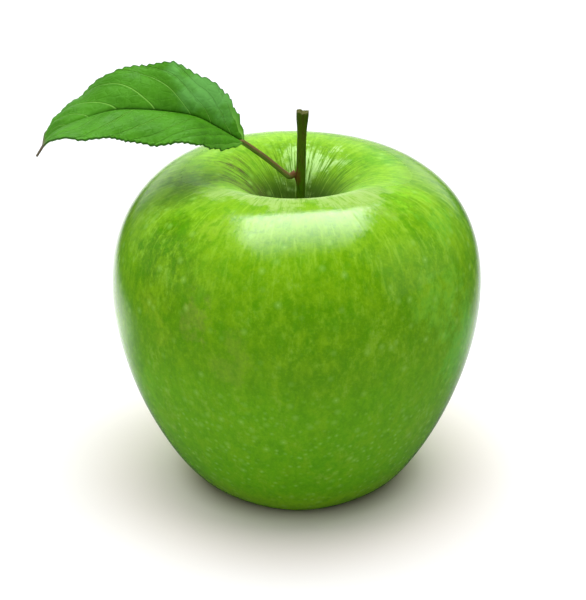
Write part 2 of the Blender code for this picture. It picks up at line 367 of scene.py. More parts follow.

# Place in millimetres from the foot of the axis, reach, strength and colour of each area. Most are
# the skin's own tone; the two greyish ones on the left of the rim are a painted shadow of the leaf.
SKIN_TONES_AND_PAINTED_SHADOW = (
    ((-26, -25, 56), 13, 0.75, (0.10, 0.285, 0.001)),
    ((27, -21, 59), 9, 0.70, (0.125, 0.395, 0.001)),
    ((3, -37, 46), 12, 0.75, (0.128, 0.375, 0.0005)),
    ((20, -31, 52.5), 8, 0.60, (0.125, 0.37, 0.0005)),
    ((-28, -24.5, 46.5), 5.5, 0.80, (0.275, 0.52, 0.012)),
    ((28, -24, 49), 7, 0.85, (0.245, 0.64, 0.04)),
    ((33, -2, 60), 10, 0.75, (0.09, 0.35, 0.002)),
    # A painted shadow of the leaf, greyish dark on the left of the rim, in these two areas.
    ((-21, -1, 66.3), 9, 0.90, (0.11, 0.265, 0.015)),
    ((-15.5, 2, 67), 4, 0.70, (0.125, 0.29, 0.02)),
    ((-25.5, -20, 60.5), 9, 0.85, (0.085, 0.265, 0.002)),
    ((-24, -11.5, 65), 6.5, 0.90, (0.135, 0.33, 0.001)),
    ((-15.5, -23, 66.5), 6, 0.80, (0.32, 0.59, 0.03)),
    ((-10, -26.5, 65.5), 5.5, 0.80, (0.34, 0.66, 0.05)),
    ((15.5, -18, 68), 6, 0.70, (0.34, 0.58, 0.07)),
    ((18.5, -13.5, 66.5), 5, 0.80, (0.165, 0.50, 0.001)),
    ((22.5, -9.5, 65.5), 5.5, 0.75, (0.34, 0.82, 0.02)),
    ((28.5, -14, 62.5), 5, 0.60, (0.19, 0.60, 0.045)),
    ((17.5, 11, 67.5), 8, 0.80, (0.11, 0.42, 0.001)),
    ((-4, 18, 67), 10, 0.60, (0.33, 0.70, 0.02)),
    ((-35, -12, 33), 9, 0.75, (0.26, 0.62, 0.05)),
    ((-29, -16, 24), 11, 0.60, (0.215, 0.64, 0.012)),
    ((32.5, -17, 36), 9, 0.75, (0.175, 0.64, 0.045)),
    ((36.5, -8, 42), 6, 0.65, (0.16, 0.54, 0.09)),
    ((6, -32, 19), 9, 0.60, (0.12, 0.46, 0.001)),
    ((-19, -32, 49), 4.5, 0.65, (0.27, 0.40, 0.045)),
    ((-13, -34.5, 42), 4.5, 0.55, (0.25, 0.44, 0.03)),
    ((24, 24, 56), 12, 0.60, (0.12, 0.35, 0.001)),
    ((-22, 26, 46), 11, 0.50, (0.235, 0.48, 0.02)),
    ((4, 37, 38), 11, 0.55, (0.13, 0.38, 0.001)),
)


def skin_finish():
    skin = Finish("apple_skin")
    centred = skin.on_piece()
    _, depth, height = skin.parts(centred)
    radius = skin.distance(skin.on_piece(stretch=(1.0, 1.0, 0.0)))
    upper_half = skin.fade(height, 40 * MM, 50 * MM)

    # Ground colour: fresh green at the foot, deeper round the middle, yellower on the shoulders.
    wander = skin.clouds(centred, WANDER_SIZE, 5.0, 0.7)
    wander = skin.fade(wander, 0.3, 0.7, -WANDER_REACH, WANDER_REACH)
    level = skin.plus(height, wander)
    skin.colour = SIDE_GREEN
    skin.stain(level, 28 * MM, 44 * MM, 1.0, MIDDLE_GREEN)
    skin.stain(level, 22 * MM, 8 * MM, 1.0, LOW_GREEN)
    skin.stain(height, 9 * MM, 2 * MM, 1.0, FOOT_GREEN)
    skin.stain(level, 52 * MM, 60 * MM, 1.0, UPPER_GREEN)
    skin.stain(level, 60 * MM, 67 * MM, 1.0, SHOULDER_GREEN)
    # Areas of the skin's own tone, and a painted shadow of the leaf on the left of the rim.
    for place, reach, strength, colour in SKIN_TONES_AND_PAINTED_SHADOW:
        apart = skin.distance(skin.on_piece(at(*place), (1.0, 1.0, 0.75)))
        skin.stain(skin.plus(apart, wander), reach * MM, 0.25 * reach * MM, strength, colour)

    # Milky areas that run up and down the side, where a fine pale mottling shows.
    milky = skin.clouds(skin.on_piece(stretch=(1.0, 1.0, 0.40)), MILKY_SIZE, 5.0, 0.68, 0.4)
    mottle = skin.clouds(skin.on_piece(stretch=(1.0, 1.0, 0.75)), MOTTLE_SIZE, 4.0, 0.7)
    milky = skin.plus(milky, skin.fade(mottle, 0.3, 0.7, -0.08, 0.08))
    contrast = skin.fade(height, 30 * MM, 58 * MM, 0.85, 1.25)
    skin.stain(milky, 0.47, 0.72, 0.60, PALE_GREEN, contrast)
    skin.stain(milky, 0.58, 0.76, 0.45, MILKY_GREEN)
    skin.stain(milky, 0.50, 0.28, 0.45, DEEP_GREEN, contrast)
    skin.stain(mottle, 0.44, 0.80, 0.36, PALE_MOTTLE, contrast)
    skin.stain(mottle, 0.50, 0.24, 0.30, DEEP_MOTTLE)

    # Smaller warm and cool patches, and a fine grain over everything.
    patchy = skin.clouds(skin.on_piece(stretch=(1.0, 1.0, 0.65)), PATCH_SIZE, 3.0, 0.6, 0.5)
    skin.stain(patchy, 0.50, 0.70, 0.38, WARM_PATCH, contrast)
    skin.stain(patchy, 0.50, 0.30, 0.38, COOL_PATCH, contrast)
    grain = skin.clouds(centred, GRAIN_SIZE, 2.0, 0.6)
    skin.stain(grain, 0.52, 0.72, 0.26, PALE_GRAIN)
    skin.stain(grain, 0.48, 0.28, 0.22, DEEP_GRAIN)

    # Pale strokes that run from the stem over the shoulders and fade out down the side.
    stroke_way = skin.attribute("skin_way", (1.0, 1.0, 1 / STROKE_LENGTH))
    streak = skin.clouds(stroke_way, 1 / STROKES_ROUND, 4.0, 0.7, 0.3)
    stroked = skin.fade(height, 50 * MM, 66 * MM, 0.10, 0.9)
    skin.stain(streak, 0.50, 0.70, 0.60, PALE_STROKE, stroked)
    skin.stain(streak, 0.48, 0.30, 0.55, DEEP_STROKE, stroked)

    # Down in the cavity the skin is darkened to olive as painted shade, with dark furrows and pale
    # threads.
    in_cavity = skin.both(skin.fade(radius, 14 * MM, 9 * MM), upper_half)
    # Painted shade: darker the deeper the skin lies in the cavity.
    deep = skin.both(skin.fade(height, 66.0 * MM, 59.5 * MM), in_cavity)
    skin.paint(skin.both(deep, 0.95), PAINTED_CAVITY_SHADE)
    thread_way = skin.attribute("skin_way", (1.0, 1.0, 1 / THREAD_LENGTH))
    thread = skin.clouds(thread_way, 1 / THREADS_ROUND, 4.0, 0.7)
    near_rim = skin.both(skin.fade(radius, 18 * MM, 11 * MM), upper_half)
    skin.stain(thread, 0.52, 0.38, 0.70, FURROW_GREEN, near_rim)
    skin.stain(thread, 0.54, 0.68, 0.55, PALE_THREAD, near_rim)

    # Pale cream with a painted sheen on the front of the rim, a painted highlight at the back
    # and a little russet on the left.
    uneven_radius = skin.plus(radius, wander)
    # The front of the rim is painted paler: partly the skin's cream, partly painted sheen.
    lip = skin.both(skin.fade(uneven_radius, 12 * MM, 14 * MM),
                    skin.fade(uneven_radius, 22 * MM, 18.5 * MM))
    lip = skin.both(lip, skin.fade(depth, -7 * MM, -13 * MM))
    lip = skin.both(lip, skin.fade(streak, 0.34, 0.56, 0.25, 0.90))
    skin.paint(skin.both(lip, upper_half), LIP_CREAM_AND_SHEEN)
    # A painted highlight: a pale streaky patch on the cavity's back wall, where the skin is also
    # less dull.
    painted_highlight = skin.distance(skin.on_piece(PAINTED_HIGHLIGHT_PLACE, (0.85, 1.0, 1.0)))
    painted_highlight = skin.fade(skin.plus(painted_highlight, wander), 6.5 * MM, 2.5 * MM)
    painted_highlight = skin.both(painted_highlight, skin.fade(thread, 0.38, 0.56, 0.0, 0.8))
    skin.paint(painted_highlight, PAINTED_HIGHLIGHT_WHITE)
    russet = skin.distance(skin.on_piece(RUSSET_PLACE))
    russet = skin.fade(skin.plus(russet, wander), 8.5 * MM, 3.0 * MM)
    skin.paint(skin.both(russet, skin.fade(thread, 0.50, 0.41, 0.0, 0.85)), RUSSET_BROWN)

    # The basin underneath is ribbed with pale threads, and brown and dull round the sepals.
    in_basin = skin.both(skin.fade(height, 20 * MM, 10 * MM), skin.fade(radius, 16 * MM, 6 * MM))
    skin.stain(thread, 0.48, 0.64, 0.55, BASIN_THREAD, in_basin)
    calyx = skin.both(skin.fade(uneven_radius, 7.0 * MM, 3.0 * MM), in_basin)
    skin.paint(skin.both(calyx, skin.fade(thread, 0.60, 0.40, 0.35, 1.0)), CALYX_BROWN)

    # Pores: pale specks with a soft halo, few on the side, many and small towards the foot.
    wide_pore = skin.cells(centred, WIDE_PORE_SIZE)
    fine_pore = skin.cells(centred, FINE_PORE_SIZE)
    low_down = skin.fade(level, 40 * MM, 20 * MM, 0.12, 1.0)
    wide = skin.larger(skin.fade(wide_pore, 0.30, 0.05, 0.0, 0.35),
                       skin.fade(wide_pore, 0.095, 0.035, 0.0, 0.70))
    fine = skin.larger(skin.fade(fine_pore, 0.36, 0.06, 0.0, 0.40),
                       skin.fade(fine_pore, 0.16, 0.06, 0.0, 0.60))
    skin.paint(skin.larger(wide, skin.both(fine, low_down)), PORE_CREAM)

    # The wax shines everywhere but down in the cavity and round the sepals.
    relief = skin.bump(skin.clouds(centred, RELIEF_SIZE, 3.0, 0.6), 0.025 * MM)
    relief = skin.bump(grain, 0.012 * MM, skin.bump(streak, 0.03 * MM, relief))
    further_out = skin.fade(depth, -14 * MM, -2 * MM, -2 * MM, 6 * MM)
    rough_edge = skin.minus(radius, further_out)
    dull = skin.both(skin.fade(rough_edge, 11 * MM, 20 * MM, 0.75, 0.0), upper_half)
    dull = skin.both(dull, skin.fade(painted_highlight, 0.1, 0.6, 1.0, 0.35))
    dull = skin.plus(dull, skin.both(calyx, 0.45))
    return skin.finished(skin.plus(dull, skin.fade(mottle, 0.3, 0.7, 0.09, 0.14)), relief)


fruit_bm = bmesh.new()
shape_fruit(fruit_bm, turned_half_profile(fruit_bm))
bmesh.ops.recalc_face_normals(fruit_bm, faces=fruit_bm.faces)
add_piece("fruit_skin", fruit_bm, skin_finish(), "fruit")


# ----------------------------------------------------------
# The stem: a stiff woody stalk that grew out of the cavity's floor, olive green with brown streaks
# and fine ridges. It swells where the leaf's stalk leaves it, and flares at the top, where it broke
# off the twig and left a ragged rim round its paler pith.

STEM_ROUTE = [at(*point) for point in (
    (0.6, 0.0, 50.4), (0.7, 0.1, 56.0), (0.8, 0.0, 61.0),
    (0.85, -0.1, 66.0), (1.0, 0.0, 73.0), (1.2, 0.0, 80.0))]
STEM_LENGTH = (STEM_ROUTE[-1] - STEM_ROUTE[0]).length
STEM_RADII = [radius * MM for radius in (1.35, 0.90, 0.88, 0.94, 0.91, 1.25)]
STEM_SIDES = 36
STEM_RINGS = 110
ROUTE_STEP = 0.01
SIDEWAYS = Vector((0.0, 1.0, 0.0))
LEAF_JOINT = at(-0.55, -0.1, 66.2)
JOINT_SWELLING = 0.42 * MM
JOINT_HALF_HEIGHT = 1.7 * MM
RAGGED_RISE = 0.55 * MM
# The broken end: shares of the rim's radius, and how far below the rim each lies, in millimetres.
PITH_STEPS = ((0.90, 0.02), (0.78, 0.16), (0.55, 0.30), (0.30, 0.24), (0.10, 0.20))
STREAK_LENGTH = 7 * MM
FIBRE_LENGTH = 1.6 * MM
TOP_OLIVE = (0.068, 0.125, 0.002)
LOW_OLIVE = (0.085, 0.205, 0.003)
BROWN_STREAK = (0.075, 0.055, 0.01)
DARK_STREAK = (0.03, 0.06, 0.004)
PALE_FIBRE = (0.14, 0.20, 0.012)
DARK_FIBRE = (0.025, 0.035, 0.004)
DRY_TOP = (0.03, 0.05, 0.002)
SCAR_RED = (0.135, 0.04, 0.014)
PITH_BROWN = (0.07, 0.08, 0.015)
PITH_STRAW = (0.27, 0.27, 0.09)


def between(table, place):
    """Value at a place in a table of (place, value) rows, eased from row to row."""
    for (low, low_value), (high, high_value) in zip(table, table[1:]):
        if place <= high:
            return low_value + (high_value - low_value) * ease(low, high, place)
    return table[-1][1]


def value_along(values, place):
    """Value at a place from 0 to 1 along an evenly spaced list."""
    spacing = 1.0 / (len(values) - 1)
    return between([(i * spacing, value) for i, value in enumerate(values)], place)


def spline_through(points, place):
    """Point at a place from 0 to 1, by length, on a smooth curve through the points."""
    lengths = [0.0]
    for first, second in zip(points, points[1:]):
        lengths.append(lengths[-1] + (second - first).length)
    target = place * lengths[-1]
    index = max(i for i in range(len(points) - 1) if lengths[i] <= target)
    t = (target - lengths[index]) / (lengths[index + 1] - lengths[index])
    before = points[index - 1] if index > 0 else points[0] * 2 - points[1]
    after = points[index + 2] if index + 2 < len(points) else points[-1] * 2 - points[-2]
    start, end = points[index], points[index + 1]
    bend = 2 * before - 5 * start + 4 * end - after
    twist = 3 * start - before - 3 * end + after
    return 0.5 * (2 * start + (end - before) * t + bend * t ** 2 + twist * t ** 3)


def frame_at(points, place):
    """Point on a route with its sideways direction and its upper direction, square to the route."""
    behind = spline_through(points, max(place - ROUTE_STEP, 0.0))
    ahead = spline_through(points, min(place + ROUTE_STEP, 1.0))
    along = (ahead - behind).normalized()
    across = (SIDEWAYS - along * SIDEWAYS.dot(along)).normalized()
    return spline_through(points, place), across, across.cross(along)


def ways_out(across, up, sides):
    """The turns round a ring, each with its direction outwards."""
    turns = [math.tau * side / sides for side in range(sides)]
    return [(turn, across * math.cos(turn) + up * math.sin(turn)) for turn in turns]


def draw_out(bm, way, rings):
    """Draw a round piece out through its rings, each a list of (point, turn, length along)."""
    start = end = bm.faces.new([bm.verts.new(point) for point, turn, length in rings[0]])
    for index, ring in enumerate(rings):
        if index:
            grown = bmesh.ops.extrude_face_region(bm, geom=[end])["geom"]
            if end is not start:
                bm.faces.remove(end)
            end = next(item for item in grown if isinstance(item, bmesh.types.BMFace))
        for vert, (point, turn, length) in zip(end.verts, ring):
            vert.co = point
            vert[way] = (math.cos(turn), math.sin(turn), length)
    bmesh.ops.recalc_face_normals(bm, faces=bm.faces)


def stem_rings():
    rings = []
    for station in range(STEM_RINGS):
        place = station / (STEM_RINGS - 1)
        centre, across, up = frame_at(STEM_ROUTE, place)
        ring = []
        for turn, out in ways_out(across, up, STEM_SIDES):
            grain = math.cos(turn) * 2.1, math.sin(turn) * 2.1
            radius = value_along(STEM_RADII, place) * (1.0 + 0.13 * waver(*grain, place * 1.6))
            radius *= 1.0 + 0.05 * waver(*grain, place * 14.0)
            to_joint = abs(centre.z - LEAF_JOINT.z + 0.3 * MM) / JOINT_HALF_HEIGHT
            facing = max(0.0, -out.x) ** 2
            radius += JOINT_SWELLING * facing * ease(1.0, 0.0, to_joint)
            ragged = waver(math.cos(turn) * 2.6, math.sin(turn) * 2.6, 9.0)
            point = centre + out * radius
            point.z += RAGGED_RISE * ragged * ease(0.96, 1.0, place)
            ring.append((point, turn, place * STEM_LENGTH))
        rings.append(ring)
    # The broken end: over the rim and down into a shallow rough pith.
    rim = rings[-1]
    for share, drop in PITH_STEPS:
        ring = []
        for point, turn, along in rim:
            grain = math.cos(turn) * 3.0 * share, math.sin(turn) * 3.0 * share
            inner = STEM_ROUTE[-1].lerp(point, share)
            inner.z += (waver(*grain, share * 5.0) * 0.16 - drop) * MM
            ring.append((inner, turn, STEM_LENGTH + (1.0 - share) * MM))
        rings.append(ring)
    return rings


def bark_finish():
    bark = Finish("stem_bark")
    height = bark.parts(bark.on_piece())["Z"]
    length = bark.parts(bark.attribute("grain_way"))["Z"]
    streak_way = bark.attribute("grain_way", (1.0, 1.0, 1 / STREAK_LENGTH))
    streak = bark.clouds(streak_way, 0.42, 3.0, 0.6)
    fibre_way = bark.attribute("grain_way", (2.2, 2.2, 1 / FIBRE_LENGTH))
    fibre = bark.clouds(fibre_way, 0.30, 3.0, 0.6)
    bark.colour = TOP_OLIVE
    bark.stain(height, 72 * MM, 58 * MM, 1.0, LOW_OLIVE)
    bark.stain(streak, 0.50, 0.66, 0.65, BROWN_STREAK)
    bark.stain(streak, 0.46, 0.30, 0.60, DARK_STREAK)
    bark.stain(fibre, 0.54, 0.75, 0.40, PALE_FIBRE)
    bark.stain(fibre, 0.46, 0.25, 0.55, DARK_FIBRE)
    bark.stain(height, 73 * MM, 79 * MM, 0.35, DRY_TOP)

    # Red-brown scar tissue round the joint, and straw-coloured fibres on the broken end.
    scarred = bark.distance(bark.on_piece(LEAF_JOINT, (1.0, 1.0, 0.8)))
    scarred = bark.plus(scarred, bark.fade(fibre, 0.3, 0.7, -0.4 * MM, 0.4 * MM))
    bark.stain(scarred, 2.1 * MM, 0.9 * MM, 0.85, SCAR_RED)
    broken = bark.fade(length, STEM_LENGTH - 0.25 * MM, STEM_LENGTH + 0.05 * MM)
    bark.paint(broken, bark.mix(bark.fade(fibre, 0.45, 0.65), PITH_BROWN, PITH_STRAW))
    relief = bark.bump(fibre, 0.05 * MM, bark.bump(streak, 0.10 * MM))
    return bark.finished(bark.fade(fibre, 0.3, 0.7, 0.45, 0.65), relief, specular=0.1)


stem_bm = bmesh.new()
draw_out(stem_bm, new_layer(stem_bm, "grain_way"), stem_rings())
add_piece("stem_wood", stem_bm, bark_finish(), "stem")


# ----------------------------------------------------------
# The leaf: one thin blade and its stalk, which grew out of the side of the stem. The blade arches
# over to the left, folded a little on its sunken midrib, and its side veins curve forward to a
# finely toothed edge. It ends in a dry brown hooked tip, and is paler and ribbed underneath.

STALK_ROUTE = [LEAF_JOINT + at(*point) for point in (
    (0.35, 0.05, 0.5), (-0.9, -0.2, -0.1), (-2.2, -0.2, 0.8), (-5.9, -0.1, 4.0), (-10.3, 0.1, 7.2))]
MIDRIB_ROUTE = [LEAF_JOINT + at(*point) for point in (
    (-10.3, 0.1, 7.2), (-16.1, 0.0, 10.8), (-20.3, -0.2, 12.9), (-27.3, -0.5, 14.2),
    (-35.3, -0.9, 14.5), (-41.0, -1.9, 13.3), (-45.6, -2.8, 11.7), (-48.9, -3.4, 9.1),
    (-51.4, -3.8, 5.6))]
# Half width in millimetres and tilt in degrees at places from 0 at the stalk to 1 at the tip.
FAR_HALF_WIDTHS = (
    (0.0, 0.56), (0.03, 2.3), (0.08, 4.6), (0.15, 6.6), (0.25, 7.9), (0.38, 10.3), (0.5, 10.4),
    (0.62, 9.8), (0.74, 9.2), (0.84, 6.6), (0.91, 3.6), (0.95, 0.5), (1.0, 0.3))
NEAR_HALF_WIDTHS = (
    (0.0, 0.56), (0.03, 2.7), (0.08, 5.0), (0.15, 7.2), (0.25, 10.6), (0.38, 11.0), (0.5, 9.4),
    (0.62, 9.3), (0.74, 9.0), (0.84, 7.8), (0.91, 4.9), (0.95, 0.5), (1.0, 0.3))
FAR_TILTS = ((0.0, 50), (0.08, 52), (0.25, 64), (0.5, 34), (0.74, 7), (0.91, 9), (1.0, 20))
NEAR_TILTS = ((0.0, -24), (0.08, -23), (0.25, -9), (0.5, -22), (0.74, -9), (0.91, 10), (1.0, 15))
BLADE_ALONG = 236
BLADE_ACROSS = 60
BLADE_LENGTH = 46 * MM
BLADE_THICKNESS = 0.36 * MM
BLADE_ARCH = 0.055
MIDRIB_GROOVE = 0.40 * MM
MIDRIB_HALF_WIDTH = 0.42 * MM
QUILTING = 0.20 * MM
RIPPLE = 0.35 * MM
TOOTH_LENGTH = 1.35 * MM
TOOTH_DEPTH = 0.62 * MM
TOOTH_PEAK = 0.72
FAR_VEINS = (-0.10, 0.04, 0.15, 0.25, 0.41, 0.575, 0.70, 0.80, 0.88, 0.96, 1.1)
NEAR_VEINS = (-0.12, 0.02, 0.10, 0.20, 0.33, 0.49, 0.63, 0.75, 0.85, 0.93, 1.1)
VEIN_SWEEP = 0.235
VEIN_HOOK = 0.10
STALK_RADIUS = 0.56 * MM
STALK_SIDES = 20
STALK_RINGS = 120
STALK_LENGTH = 13 * MM
# Share of the stalk's rings before the blade, and how far along the blade the rest run.
STALK_SHARE = 0.2
RIB_REACH = 0.88
NET_SIZE = 1.5 * MM
# Where the painted sheen on the far half of the blade lies.
PAINTED_SHEEN_ALONG = 9.5 * MM
PAINTED_SHEEN_ACROSS = 8.0 * MM
DARK_LEAF = (0.05, 0.215, 0.006)
FRESH_LEAF = (0.072, 0.285, 0.01)
LEAF_SPECK = (0.11, 0.36, 0.03)
NET_GREEN = (0.11, 0.36, 0.035)
BESIDE_VEIN = (0.045, 0.19, 0.006)
VEIN_GREEN = (0.22, 0.54, 0.07)
# A painted sheen.
PAINTED_LEAF_SHEEN = (0.185, 0.54, 0.12)
# Painted shade in the sunken midrib.
RIB_GROOVE_SHADE = (0.02, 0.09, 0.003)
EDGE_GREEN = (0.022, 0.095, 0.006)
UNDERSIDE = (0.16, 0.34, 0.10)
UNDERSIDE_NET = (0.24, 0.44, 0.16)
UNDERSIDE_VEIN = (0.34, 0.52, 0.22)
DRY_BROWN = (0.10, 0.075, 0.045)
DRY_STRAW = (0.30, 0.25, 0.17)
STALK_GREEN = (0.075, 0.125, 0.012)
STALK_YELLOW = (0.15, 0.22, 0.03)
STALK_RED = (0.20, 0.085, 0.035)
STALK_FOOT = (0.15, 0.045, 0.016)
STALK_FIBRE = (0.26, 0.28, 0.09)
RIB_GREEN = (0.26, 0.42, 0.14)


def vein_count(starts, place, share):
    """How many side veins leave the midrib before the one through this point: whole on a vein."""
    start = place - VEIN_SWEEP * share - VEIN_HOOK * share ** 4
    for index, (low, high) in enumerate(zip(starts, starts[1:])):
        if start <= high:
            return max(index + (start - low) / (high - low), 0.0)
    return len(starts) - 1.0


def shape_blade(bm, leaf_way, veins):
    """Lay a flat grid along the midrib, its X from stalk to tip, its Y from near to far edge."""
    frames = {}
    for vert in bm.verts:
        place, across = (vert.co.x + 1.0) / 2, vert.co.y
        key = round(place * BLADE_ALONG)
        if key not in frames:
            frames[key] = frame_at(MIDRIB_ROUTE, place)
        centre, sideways, up = frames[key]
        if across > 0:
            side, widths, tilts, starts = 1.0, FAR_HALF_WIDTHS, FAR_TILTS, FAR_VEINS
        else:
            side, widths, tilts, starts = -1.0, NEAR_HALF_WIDTHS, NEAR_TILTS, NEAR_VEINS
        share = abs(across)
        half_width = between(widths, place) * MM
        tilt = math.radians(between(tilts, place))
        outward = sideways * side * math.cos(tilt) + up * math.sin(tilt)
        raised = up * math.cos(tilt) - sideways * side * math.sin(tilt)
        count = vein_count(starts, place, share)

        tooth = (place * BLADE_LENGTH / TOOTH_LENGTH + (0.4 if across > 0 else 0.0)) % 1.0
        tooth = tooth / TOOTH_PEAK if tooth < TOOTH_PEAK else (1.0 - tooth) / (1.0 - TOOTH_PEAK)
        toothed = ease(0.0, 0.05, place) * ease(0.95, 0.90, place)
        toothed *= ease(0.84, 1.0, share)
        uneven = 0.7 + 0.6 * waver(place * 30.0, side, 4.0)
        reach = half_width * share + tooth * toothed * uneven * TOOTH_DEPTH

        quilt = 0.5 - 0.5 * math.cos(math.tau * count)
        quilt *= ease(0.0, 2.5 * MM, reach) * ease(1.0, 0.75, share)
        quilt *= ease(0.95, 0.85, place)
        ripple = waver(place * 7.0, across * 1.3, 2.0) * ease(0.1, 0.9, share)
        ripple += 0.5 * waver(place * 21.0, across * 2.0, 6.0) * ease(0.4, 1.0, share)
        ripple *= ease(0.0, 0.08, place) * ease(0.98, 0.88, place)
        groove = math.exp(-(reach / MIDRIB_HALF_WIDTH) ** 2) * ease(0.95, 0.7, place)
        lift = BLADE_ARCH * half_width * 4.0 * share * (1.0 - share)
        lift += QUILTING * quilt + RIPPLE * ripple - MIDRIB_GROOVE * groove
        vert.co = centre + outward * reach + raised * lift
        vert[leaf_way] = (place * BLADE_LENGTH, side * reach, share)
        vert[veins] = (count if across > 0 else 0.0, 0.0 if across > 0 else count, 0.0)


def thicken_blade(bm, veins, thickness):
    """Thicken a sheet: a copy drawn off it is the upper side, and the sheet lies below."""
    bmesh.ops.reverse_faces(bm, faces=bm.faces)
    bm.normal_update()
    grown = bmesh.ops.extrude_face_region(bm, geom=list(bm.faces), use_keep_orig=True)["geom"]
    upper = [item for item in grown if isinstance(item, bmesh.types.BMVert)]
    for vert in upper:
        vert[veins] = (vert[veins].x, vert[veins].y, 1.0)
    bm.normal_update()
    moves = [vert.normal * thickness for vert in upper]
    for vert, move in zip(upper, moves):
        vert.co += move
    bmesh.ops.recalc_face_normals(bm, faces=bm.faces)


def blade_finish():
    blade = Finish("leaf_green")
    along, reach, share = blade.parts(blade.attribute("leaf_way"))
    far_count, near_count, above = blade.parts(blade.attribute("veins"))
    flat = blade.add("CombineXYZ", {0: along, 1: reach}).outputs[0]
    far = blade.fade(reach, -0.05 * MM, 0.05 * MM)
    count = blade.plus(far_count, near_count)
    to_rib = blade.sums("ABSOLUTE", reach)
    # How near a point is to a side vein: whole counts lie on one.
    to_vein = blade.sums("ABSOLUTE", blade.minus(count, blade.sums("ROUND", count)))
    patch = blade.clouds(flat, 6 * MM, 3.0, 0.55)
    fine = blade.clouds(flat, 0.8 * MM, 3.0, 0.6)
    net = blade.cells(flat, NET_SIZE, "DISTANCE_TO_EDGE")

    # The upper side, with its net, its veins, a painted pale sheen near the stalk, painted shade
    # along the midrib and dark edges.
    blade.colour = DARK_LEAF
    blade.stain(patch, 0.32, 0.68, 1.0, FRESH_LEAF)
    blade.stain(fine, 0.40, 0.68, 0.35, LEAF_SPECK)
    blade.stain(net, 0.09, 0.0, 0.12, NET_GREEN)
    blade.stain(to_vein, 0.10, 0.02, 0.35, BESIDE_VEIN)
    vein_strength = blade.both(blade.fade(share, 1.0, 0.5, 0.15, 0.95),
                               blade.plus(blade.both(far, 0.5), 0.5))
    on_vein = blade.both(blade.fade(to_vein, 0.03, 0.012), vein_strength)
    blade.paint(on_vein, VEIN_GREEN)
    # A painted pale sheen on the far half of the blade, near the stalk.
    painted_sheen_place = blade.add("CombineXYZ", {0: blade.minus(along, PAINTED_SHEEN_ALONG),
                                          1: blade.minus(reach, PAINTED_SHEEN_ACROSS)}).outputs[0]
    painted_sheen_area = blade.plus(blade.distance(painted_sheen_place),
                           blade.fade(patch, 0.3, 0.7, -2.0 * MM, 2.0 * MM))
    blade.stain(painted_sheen_area, 8.5 * MM, 3.0 * MM, 0.80, PAINTED_LEAF_SHEEN)
    # Painted shade along the sunken midrib, from the stalk to past half way.
    fresh = blade.fade(along, 40 * MM, 24 * MM)
    blade.stain(to_rib, 0.60 * MM, 0.20 * MM, 0.90, RIB_GROOVE_SHADE, fresh)
    blade.stain(share, 0.955, 0.995, 0.75, EDGE_GREEN)

    # The underside, and the dry tip of both.
    below = blade.mix(blade.fade(net, 0.10, 0.0, 0.1, 0.6), UNDERSIDE, UNDERSIDE_NET)
    below = blade.mix(on_vein, below, UNDERSIDE_VEIN)
    blade.colour = blade.mix(blade.fade(above, 0.4, 0.6), below, blade.colour)
    dried = blade.plus(along, blade.fade(patch, 0.3, 0.7, -1.0 * MM, 1.0 * MM))
    dry_colour = blade.mix(fine, DRY_BROWN, DRY_STRAW)
    blade.stain(dried, 41.6 * MM, 43.2 * MM, 1.0, dry_colour)

    rough = blade.plus(blade.fade(patch, 0.3, 0.7, 0.40, 0.50),
                       blade.fade(above, 0.6, 0.4, 0.0, 0.25))
    sunken = blade.both(blade.fade(to_vein, 0.0, 0.06), blade.fade(net, 0.0, 0.15, 0.7, 1.0))
    relief = blade.bump(fine, 0.02 * MM, blade.bump(sunken, 0.12 * MM))
    return blade.finished(rough, relief, specular=0.1)


def stalk_rings():
    """The stalk, which runs on under the blade as its rib and thins out to the tip."""
    rings = []
    for station in range(STALK_RINGS):
        place = station / (STALK_RINGS - 1)
        if place < STALK_SHARE:
            centre, across, up = frame_at(STALK_ROUTE, place / STALK_SHARE)
            radius = STALK_RADIUS * (1.0 + 0.25 * ease(0.05, 0.0, place))
            length = place / STALK_SHARE * STALK_LENGTH
        else:
            run = (place - STALK_SHARE) / (1.0 - STALK_SHARE) * RIB_REACH
            centre, across, up = frame_at(MIDRIB_ROUTE, run)
            radius = STALK_RADIUS * (1.0 - 0.78 * ease(0.0, 0.75, run))
            sink = ease(0.0, 0.03, run)
            centre = centre - up * (radius * 0.75 + MIDRIB_GROOVE * 0.5) * sink
            length = STALK_LENGTH + run * BLADE_LENGTH
        ring = []
        for turn, out in ways_out(across, up, STALK_SIDES):
            grain = waver(math.cos(turn) * 1.7, math.sin(turn) * 1.7, length * 300.0)
            ring.append((centre + out * radius * (1.0 + 0.10 * grain), turn, length))
        rings.append(ring)
    return rings


def stalk_finish():
    stalk = Finish("leaf_stalk")
    streak_way = stalk.attribute("grain_way", (1.0, 1.0, 1 / (5 * MM)))
    upper = stalk.parts(streak_way)["Y"]
    length = stalk.parts(stalk.attribute("grain_way"))["Z"]
    streak = stalk.clouds(streak_way, 0.45, 3.0, 0.6)
    fibre_way = stalk.attribute("grain_way", (2.0, 2.0, 1 / (1.2 * MM)))
    fibre = stalk.clouds(fibre_way, 0.35, 3.0, 0.6)
    stalk.colour = STALK_GREEN
    stalk.stain(streak, 0.35, 0.65, 1.0, STALK_YELLOW)
    redder = stalk.plus(upper, stalk.fade(streak, 0.3, 0.7, -0.5, 0.5))
    stalk.stain(redder, 0.1, 0.9, 0.75, STALK_RED)
    stalk.stain(length, 2.2 * MM, 0.2 * MM, 0.85, STALK_FOOT)
    stalk.stain(fibre, 0.5, 0.75, 0.4, STALK_FIBRE)
    stalk.stain(length, STALK_LENGTH, 20 * MM, 1.0, RIB_GREEN)
    rough = stalk.fade(fibre, 0.3, 0.7, 0.40, 0.58)
    return stalk.finished(rough, stalk.bump(streak, 0.06 * MM), specular=0.3)


